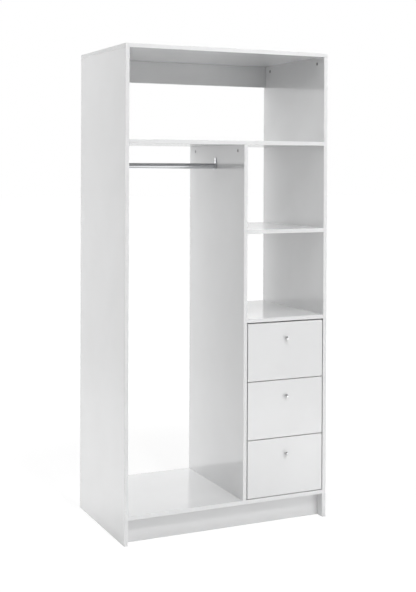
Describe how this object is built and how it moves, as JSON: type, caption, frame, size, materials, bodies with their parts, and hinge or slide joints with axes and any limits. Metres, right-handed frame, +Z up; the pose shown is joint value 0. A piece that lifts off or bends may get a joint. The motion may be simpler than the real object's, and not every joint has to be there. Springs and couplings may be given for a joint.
{
  "type": "open frame wardrobe",
  "caption": "Free-standing open wardrobe in white board with a hanging bay and rod, an open top bay, shelf cubbies and a stack of inset drawers on roller runners.",
  "frame": {"origin": "on the floor, under the middle of the box round the whole wardrobe with its knobs", "axes": "+X to the right as seen from the front, +Y to the back, +Z up"},
  "size_m": [0.835, 0.515, 1.8],
  "materials": {
    "white_board": "white melamine faced chipboard, fine matt grain, white edge band",
    "drawer_board": "white paper faced chipboard, matt",
    "hardboard": "thin hardboard, white on its upper face",
    "chrome_tube": "polished chrome plate",
    "chrome_bracket": "chrome plated pressing",
    "knob_metal": "bright nickel plate",
    "zinc": "bare zinc casting",
    "screw_steel": "bright zinc plate",
    "runner_steel": "white powder coat"
  },
  "bodies": {
    "carcass": {"left_side_panel": "white_board", "right_side_panel": "white_board", "divider_panel": "white_board", "top_panel": "white_board", "top_rear_rail": "white_board", "upper_shelf": "white_board", "middle_shelf": "white_board", "drawer_top_shelf": "white_board", "base_panel": "white_board", "front_plinth": "white_board", "rear_plinth": "white_board", "cam_lock_left_front": "zinc", "cam_lock_left_rear": "zinc", "cam_lock_right_front": "zinc", "cam_lock_right_rear": "zinc", "cam_lock_divider_front": "zinc", "cam_lock_divider_rear": "zinc", "hanging_rod": "chrome_tube", "rod_bracket_left": "chrome_bracket", "rod_bracket_left_upper_screw": "screw_steel", "rod_bracket_left_lower_screw": "screw_steel", "rod_bracket_right": "chrome_bracket", "rod_bracket_right_upper_screw": "screw_steel", "rod_bracket_right_lower_screw": "screw_steel", "cabinet_runner_1_left": "runner_steel", "cabinet_runner_1_right": "runner_steel", "cabinet_runner_2_left": "runner_steel", "cabinet_runner_2_right": "runner_steel", "cabinet_runner_3_left": "runner_steel", "cabinet_runner_3_right": "runner_steel"},
    "drawer_1": {"drawer_1_front": "white_board", "drawer_1_left_side": "drawer_board", "drawer_1_right_side": "drawer_board", "drawer_1_back": "drawer_board", "drawer_1_bottom": "hardboard", "drawer_1_knob": "knob_metal", "drawer_1_knob_screw": "screw_steel", "drawer_1_left_runner": "runner_steel", "drawer_1_right_runner": "runner_steel"},
    "drawer_2": {"drawer_2_front": "white_board", "drawer_2_left_side": "drawer_board", "drawer_2_right_side": "drawer_board", "drawer_2_back": "drawer_board", "drawer_2_bottom": "hardboard", "drawer_2_knob": "knob_metal", "drawer_2_knob_screw": "screw_steel", "drawer_2_left_runner": "runner_steel", "drawer_2_right_runner": "runner_steel"},
    "drawer_3": {"drawer_3_front": "white_board", "drawer_3_left_side": "drawer_board", "drawer_3_right_side": "drawer_board", "drawer_3_back": "drawer_board", "drawer_3_bottom": "hardboard", "drawer_3_knob": "knob_metal", "drawer_3_knob_screw": "screw_steel", "drawer_3_left_runner": "runner_steel", "drawer_3_right_runner": "runner_steel"}
  },
  "joints": [
    {"name": "drawer_1_slide", "type": "slide", "parent": "carcass", "child": "drawer_1", "axis": [0, -1, 0], "range_m": [0, 0.335]},
    {"name": "drawer_2_slide", "type": "slide", "parent": "carcass", "child": "drawer_2", "axis": [0, -1, 0], "range_m": [0, 0.335]},
    {"name": "drawer_3_slide", "type": "slide", "parent": "carcass", "child": "drawer_3", "axis": [0, -1, 0], "range_m": [0, 0.335]}
  ]
}
